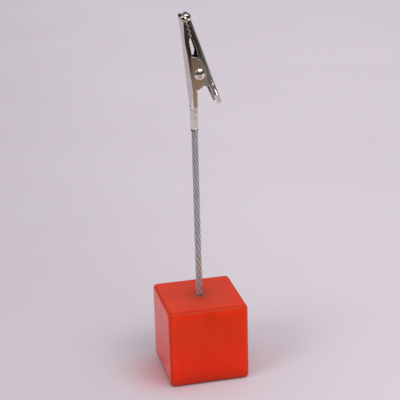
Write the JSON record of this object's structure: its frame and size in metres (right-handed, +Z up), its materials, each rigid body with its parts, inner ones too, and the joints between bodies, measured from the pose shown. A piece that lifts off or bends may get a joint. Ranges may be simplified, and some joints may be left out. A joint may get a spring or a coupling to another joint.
{
  "type": "memo holder",
  "caption": "Desk memo holder: a translucent rounded cube, a stiff stranded wire stem and a sprung toothed clip that opens with a thumb lever.",
  "frame": {"origin": "middle of the cube's underside", "axes": "+Z up along the stem, -Y towards the viewer's front face of the cube, the lever of the clip towards +X"},
  "size_m": [0.025, 0.025, 0.1139],
  "materials": {
    "block_resin": "translucent red-orange resin, satin polished",
    "glue": "set clear glue",
    "rope_wire": "drawn bright steel wire",
    "clip_sheet": "bright nickel plate on pressed steel sheet",
    "rivet_metal": "bright nickel plate",
    "spring_wire": "plain spring steel wire"
  },
  "bodies": {
    "base": {"base_block": "block_resin", "glue_sleeve": "glue", "core_wire": "rope_wire", "inner_wire_1": "rope_wire", "inner_wire_2": "rope_wire", "inner_wire_3": "rope_wire", "inner_wire_4": "rope_wire", "inner_wire_5": "rope_wire", "inner_wire_6": "rope_wire", "outer_wire_1": "rope_wire", "outer_wire_2": "rope_wire", "outer_wire_3": "rope_wire", "outer_wire_4": "rope_wire", "outer_wire_5": "rope_wire", "outer_wire_6": "rope_wire", "outer_wire_7": "rope_wire", "outer_wire_8": "rope_wire", "outer_wire_9": "rope_wire", "outer_wire_10": "rope_wire", "outer_wire_11": "rope_wire", "outer_wire_12": "rope_wire", "fixed_jaw": "clip_sheet", "pivot_rivet": "rivet_metal", "torsion_spring": "spring_wire"},
    "jaw": {"moving_jaw": "clip_sheet"}
  },
  "joints": [
    {"name": "jaw_hinge", "type": "hinge", "parent": "base", "child": "jaw", "pos_m": [0.00132, 0.00008, 0.09586], "axis": [-0.0593, 0.9982, 0], "range_deg": [0, 28], "stiffness_Nm_per_rad": 0.03, "springref_deg": -68.75, "deforming": ["torsion_spring"]}
  ]
}
